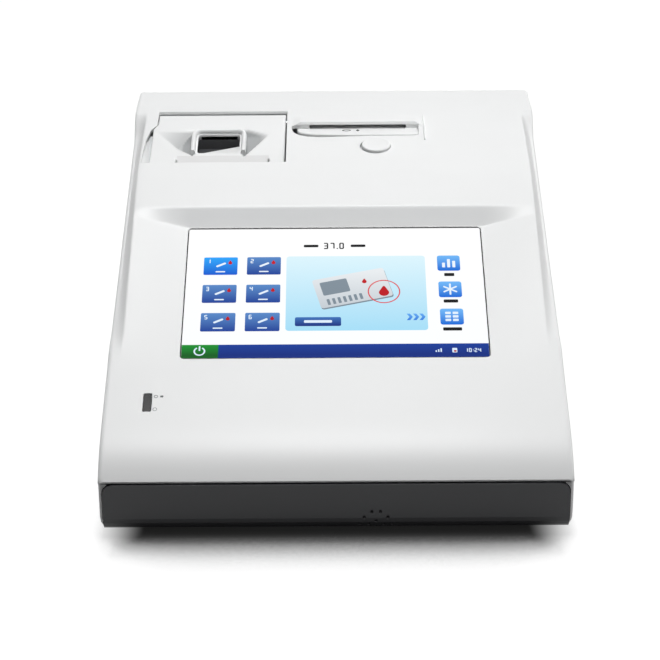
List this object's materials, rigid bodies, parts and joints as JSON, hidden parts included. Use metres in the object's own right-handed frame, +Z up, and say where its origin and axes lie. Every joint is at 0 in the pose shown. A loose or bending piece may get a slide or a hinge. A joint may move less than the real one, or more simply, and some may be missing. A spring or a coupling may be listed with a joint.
{
  "type": "portable blood gas analyzer",
  "caption": "Wedge-shaped desk analyzer with a sloping touch screen, receipt printer under a rear left lid, and a hooded test card slot beside a round release button.",
  "frame": {"origin": "on the desk under the middle of the housing", "axes": "+X to the right of someone who faces the screen, +Y from the front to the rear, +Z up"},
  "size_m": [0.238, 0.315, 0.153],
  "materials": {
    "aluminium": "satin",
    "amber_film": "satin film",
    "battery_wrap": "satin",
    "black_rubber": "matte",
    "board_green": "satin solder mask",
    "brass": "satin",
    "bright_steel": "polished",
    "dark_plastic": "satin",
    "gear_plastic": "satin",
    "grey_fascia": "satin",
    "light_grey": "satin",
    "paper": "matte",
    "scan_red": "gloss",
    "screen_glass": "gloss",
    "steel_sheet": "satin",
    "white_housing": "satin moulded plastic"
  },
  "bodies": {
    "housing": {"base_tray": "white_housing", "battery_door": "white_housing", "battery_pack": "battery_wrap", "button_board": "board_green", "button_spring": "bright_steel", "card_guide": "light_grey", "card_heater": "aluminium", "card_port_liner": "white_housing", "chassis_plate": "steel_sheet", "dc_jack": "dark_plastic", "display_bracket": "steel_sheet", "display_ribbon": "amber_film", "door_hinge_pin": "bright_steel", "front_fascia": "grey_fascia", "housing_screw_front_left": "bright_steel", "housing_screw_front_right": "bright_steel", "housing_screw_rear_left": "bright_steel", "housing_screw_rear_right": "bright_steel", "io_board": "board_green", "lan_port": "steel_sheet", "lcd_module": "dark_plastic", "led_window": "dark_plastic", "main_board": "board_green", "mechanism_frame": "steel_sheet", "power_board": "board_green", "power_switch": "dark_plastic", "press_motor": "steel_sheet", "print_head": "aluminium", "printer_frame": "light_grey", "printer_motor": "steel_sheet", "pump_motor": "steel_sheet", "reader_engine": "dark_plastic", "reader_window": "scan_red", "rear_panel": "light_grey", "rubber_foot_front_left": "black_rubber", "rubber_foot_front_right": "black_rubber", "rubber_foot_rear_left": "black_rubber", "rubber_foot_rear_right": "black_rubber", "screen_gasket": "black_rubber", "screen_glass": "screen_glass", "serial_port": "steel_sheet", "speaker": "dark_plastic", "top_cover": "white_housing", "usb_port": "steel_sheet", "valve_motor": "steel_sheet", "wireless_module": "steel_sheet"},
    "printer_door": {"printer_door": "white_housing"},
    "platen": {"platen_roller": "black_rubber", "platen_gear": "gear_plastic"},
    "idler_gear": {"idler_gear": "gear_plastic"},
    "motor_pinion": {"motor_pinion": "brass"},
    "paper_roll": {"paper_roll": "paper", "paper_core": "light_grey"},
    "card_button": {"card_button": "white_housing"},
    "contact_head": {"contact_head": "dark_plastic"},
    "press_cam": {"press_cam": "gear_plastic"},
    "pump_rotor": {"pump_rotor": "gear_plastic"},
    "valve_key": {"valve_key": "gear_plastic"},
    "power_rocker": {"power_rocker": "black_rubber"}
  },
  "joints": [
    {"name": "printer_door_hinge", "type": "hinge", "parent": "housing", "child": "printer_door", "pos_m": [-0.0673, 0.0985, 0.14402], "axis": [-1, 0, 0], "range_deg": [0, 85]},
    {"name": "platen_turn", "type": "hinge", "parent": "printer_door", "child": "platen", "pos_m": [-0.0643, 0.055, 0.12834], "axis": [1, 0, 0], "continuous": true},
    {"name": "idler_turn", "type": "hinge", "parent": "housing", "child": "idler_gear", "pos_m": [-0.0333, 0.05907, 0.11705], "axis": [1, 0, 0], "continuous": true},
    {"name": "pinion_turn", "type": "hinge", "parent": "housing", "child": "motor_pinion", "pos_m": [-0.0333, 0.05148, 0.11134], "axis": [1, 0, 0], "continuous": true},
    {"name": "roll_turn", "type": "hinge", "parent": "housing", "child": "paper_roll", "pos_m": [-0.0643, 0.084, 0.10814], "axis": [1, 0, 0], "continuous": true},
    {"name": "button_press", "type": "slide", "parent": "housing", "child": "card_button", "axis": [0, 0.2011, -0.9796], "range_m": [0, 0.002], "stiffness_N_per_m": 250, "springref_m": -0.002, "deforming": ["button_spring"]},
    {"name": "press_cam_turn", "type": "hinge", "parent": "housing", "child": "press_cam", "pos_m": [0.014, 0.117, 0.12201], "axis": [1, 0, 0], "range_deg": [0, 180]},
    {"name": "contact_lift", "type": "slide", "parent": "housing", "child": "contact_head", "axis": [0, 0, 1], "range_m": [0, 0.002]},
    {"name": "pump_turn", "type": "hinge", "parent": "housing", "child": "pump_rotor", "pos_m": [0.028, 0.1325, 0.1366], "axis": [0, 0, 1], "continuous": true},
    {"name": "valve_turn", "type": "hinge", "parent": "housing", "child": "valve_key", "pos_m": [0, 0.1325, 0.1345], "axis": [0, 0, 1], "range_deg": [0, 90]},
    {"name": "power_rocker_tilt", "type": "hinge", "parent": "housing", "child": "power_rocker", "pos_m": [0.066, 0.1388, 0.055], "axis": [-1, 0, 0], "range_deg": [0, 16]}
  ],
  "couplings": [
    {"joint": "platen_turn", "follows": "roll_turn", "ratio": -4.2},
    {"joint": "idler_turn", "follows": "roll_turn", "ratio": 3.5538},
    {"joint": "pinion_turn", "follows": "roll_turn", "ratio": -7.7},
    {"joint": "press_cam_turn", "follows": "contact_lift", "rad_per_m": 1570.7}
  ]
}
